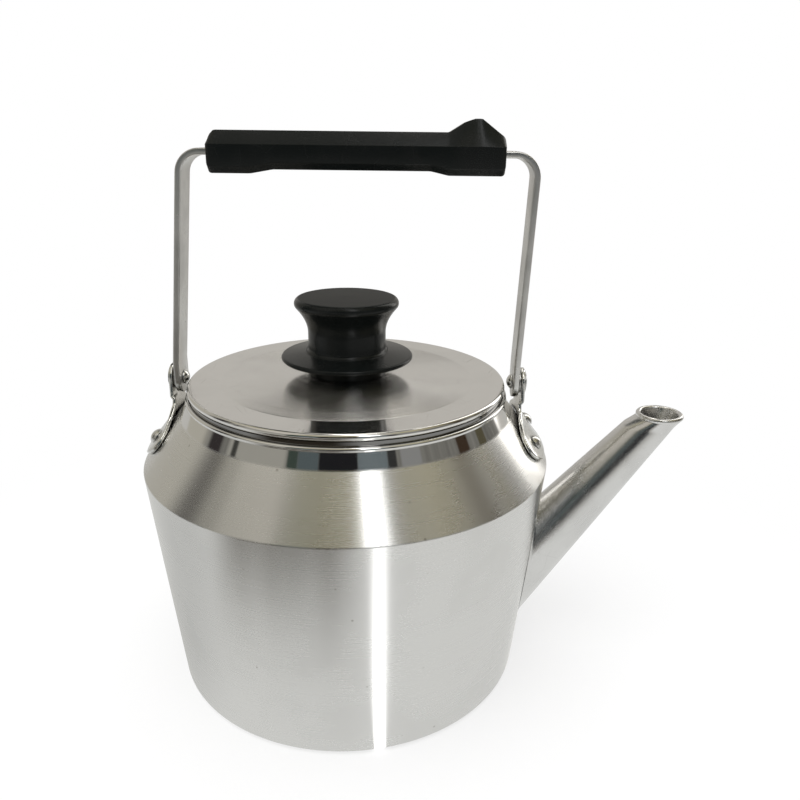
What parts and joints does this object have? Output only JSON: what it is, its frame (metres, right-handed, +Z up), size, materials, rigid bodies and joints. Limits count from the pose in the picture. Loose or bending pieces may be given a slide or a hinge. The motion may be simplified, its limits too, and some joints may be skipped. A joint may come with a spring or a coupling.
{
  "type": "kettle",
  "caption": "Spun aluminium camp kettle with a straight tapered spout, a lift-off lid with a black knob, and a swinging strap bail with a black grip.",
  "frame": {"origin": "centre of the flat base, on the surface the kettle stands on", "axes": "+Z up along the body's axis, +X towards the spout, and the bail swings about an axis along X"},
  "size_m": [0.268, 0.2, 0.2703],
  "materials": {
    "spun_aluminium": "spun satin",
    "polished_aluminium": "polished",
    "pressed_aluminium": "tumbled",
    "strap_steel": "brushed",
    "rivet_metal": "satin",
    "insert_brass": "turned",
    "black_phenolic": "semi-gloss moulded"
  },
  "bodies": {
    "kettle": {"body": "spun_aluminium", "spout": "polished_aluminium", "ear_front": "pressed_aluminium", "ear_rear": "pressed_aluminium", "ear_rivet_front_left": "rivet_metal", "ear_rivet_front_right": "rivet_metal", "ear_rivet_rear_left": "rivet_metal", "ear_rivet_rear_right": "rivet_metal", "pivot_rivet_front": "rivet_metal", "pivot_rivet_rear": "rivet_metal", "pivot_washer_front": "strap_steel", "pivot_washer_rear": "strap_steel"},
    "lid": {"lid": "polished_aluminium", "knob": "black_phenolic", "knob_insert": "insert_brass", "knob_screw": "strap_steel", "knob_washer": "strap_steel"},
    "bail": {"bail_strap": "strap_steel", "grip": "black_phenolic"}
  },
  "joints": [
    {"name": "bail_swing", "type": "hinge", "parent": "kettle", "child": "bail", "pos_m": [0, 0, 0.1489], "axis": [1, 0, 0], "range_deg": [-100, 100]},
    {"name": "lid_lift", "type": "slide", "parent": "kettle", "child": "lid", "axis": [0, 0, 1], "range_m": [0, 0.04]}
  ]
}
